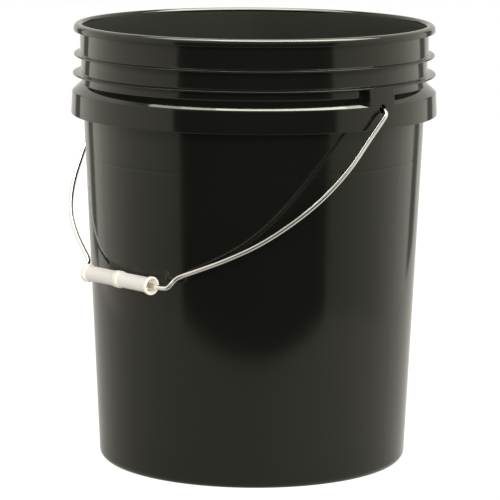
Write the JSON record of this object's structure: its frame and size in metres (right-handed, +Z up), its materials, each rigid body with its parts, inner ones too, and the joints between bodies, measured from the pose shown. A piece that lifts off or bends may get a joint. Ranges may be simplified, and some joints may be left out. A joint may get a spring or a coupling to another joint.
{
  "type": "plastic fermenting bucket",
  "caption": "Open tapered plastic pail with ribbed collar, hanging skirt and moulded ears, a wire bail that swings over the mouth and a roller hand grip that turns on the wire.",
  "frame": {"origin": "centre of the bottom, on the surface the pail stands on", "axes": "+Z up through the open mouth; X runs along the bail's pivot line, from ear to ear; the bail hangs on the -Y side"},
  "size_m": [0.3229, 0.306, 0.368],
  "materials": {
    "pail_plastic": "as-moulded black polyethylene, glossy, with faint flow marks and fine scuffs",
    "bail_steel": "bright drawn and galvanised steel wire, smooth, with faint drawing lines",
    "grip_plastic": "natural off-white moulded polyethylene, satin and slightly translucent"
  },
  "bodies": {
    "pail_body": {"pail": "pail_plastic"},
    "bail": {"bail_wire": "bail_steel"},
    "grip": {"hand_grip": "grip_plastic"}
  },
  "joints": [
    {"name": "bail_swing", "type": "hinge", "parent": "pail_body", "child": "bail", "pos_m": [0, 0, 0.3086], "axis": [-1, 0, 0], "range_deg": [0, 269]},
    {"name": "grip_spin", "type": "hinge", "parent": "bail", "child": "grip", "pos_m": [0, -0.14429, 0.16681], "axis": [1, 0, 0], "continuous": true}
  ]
}
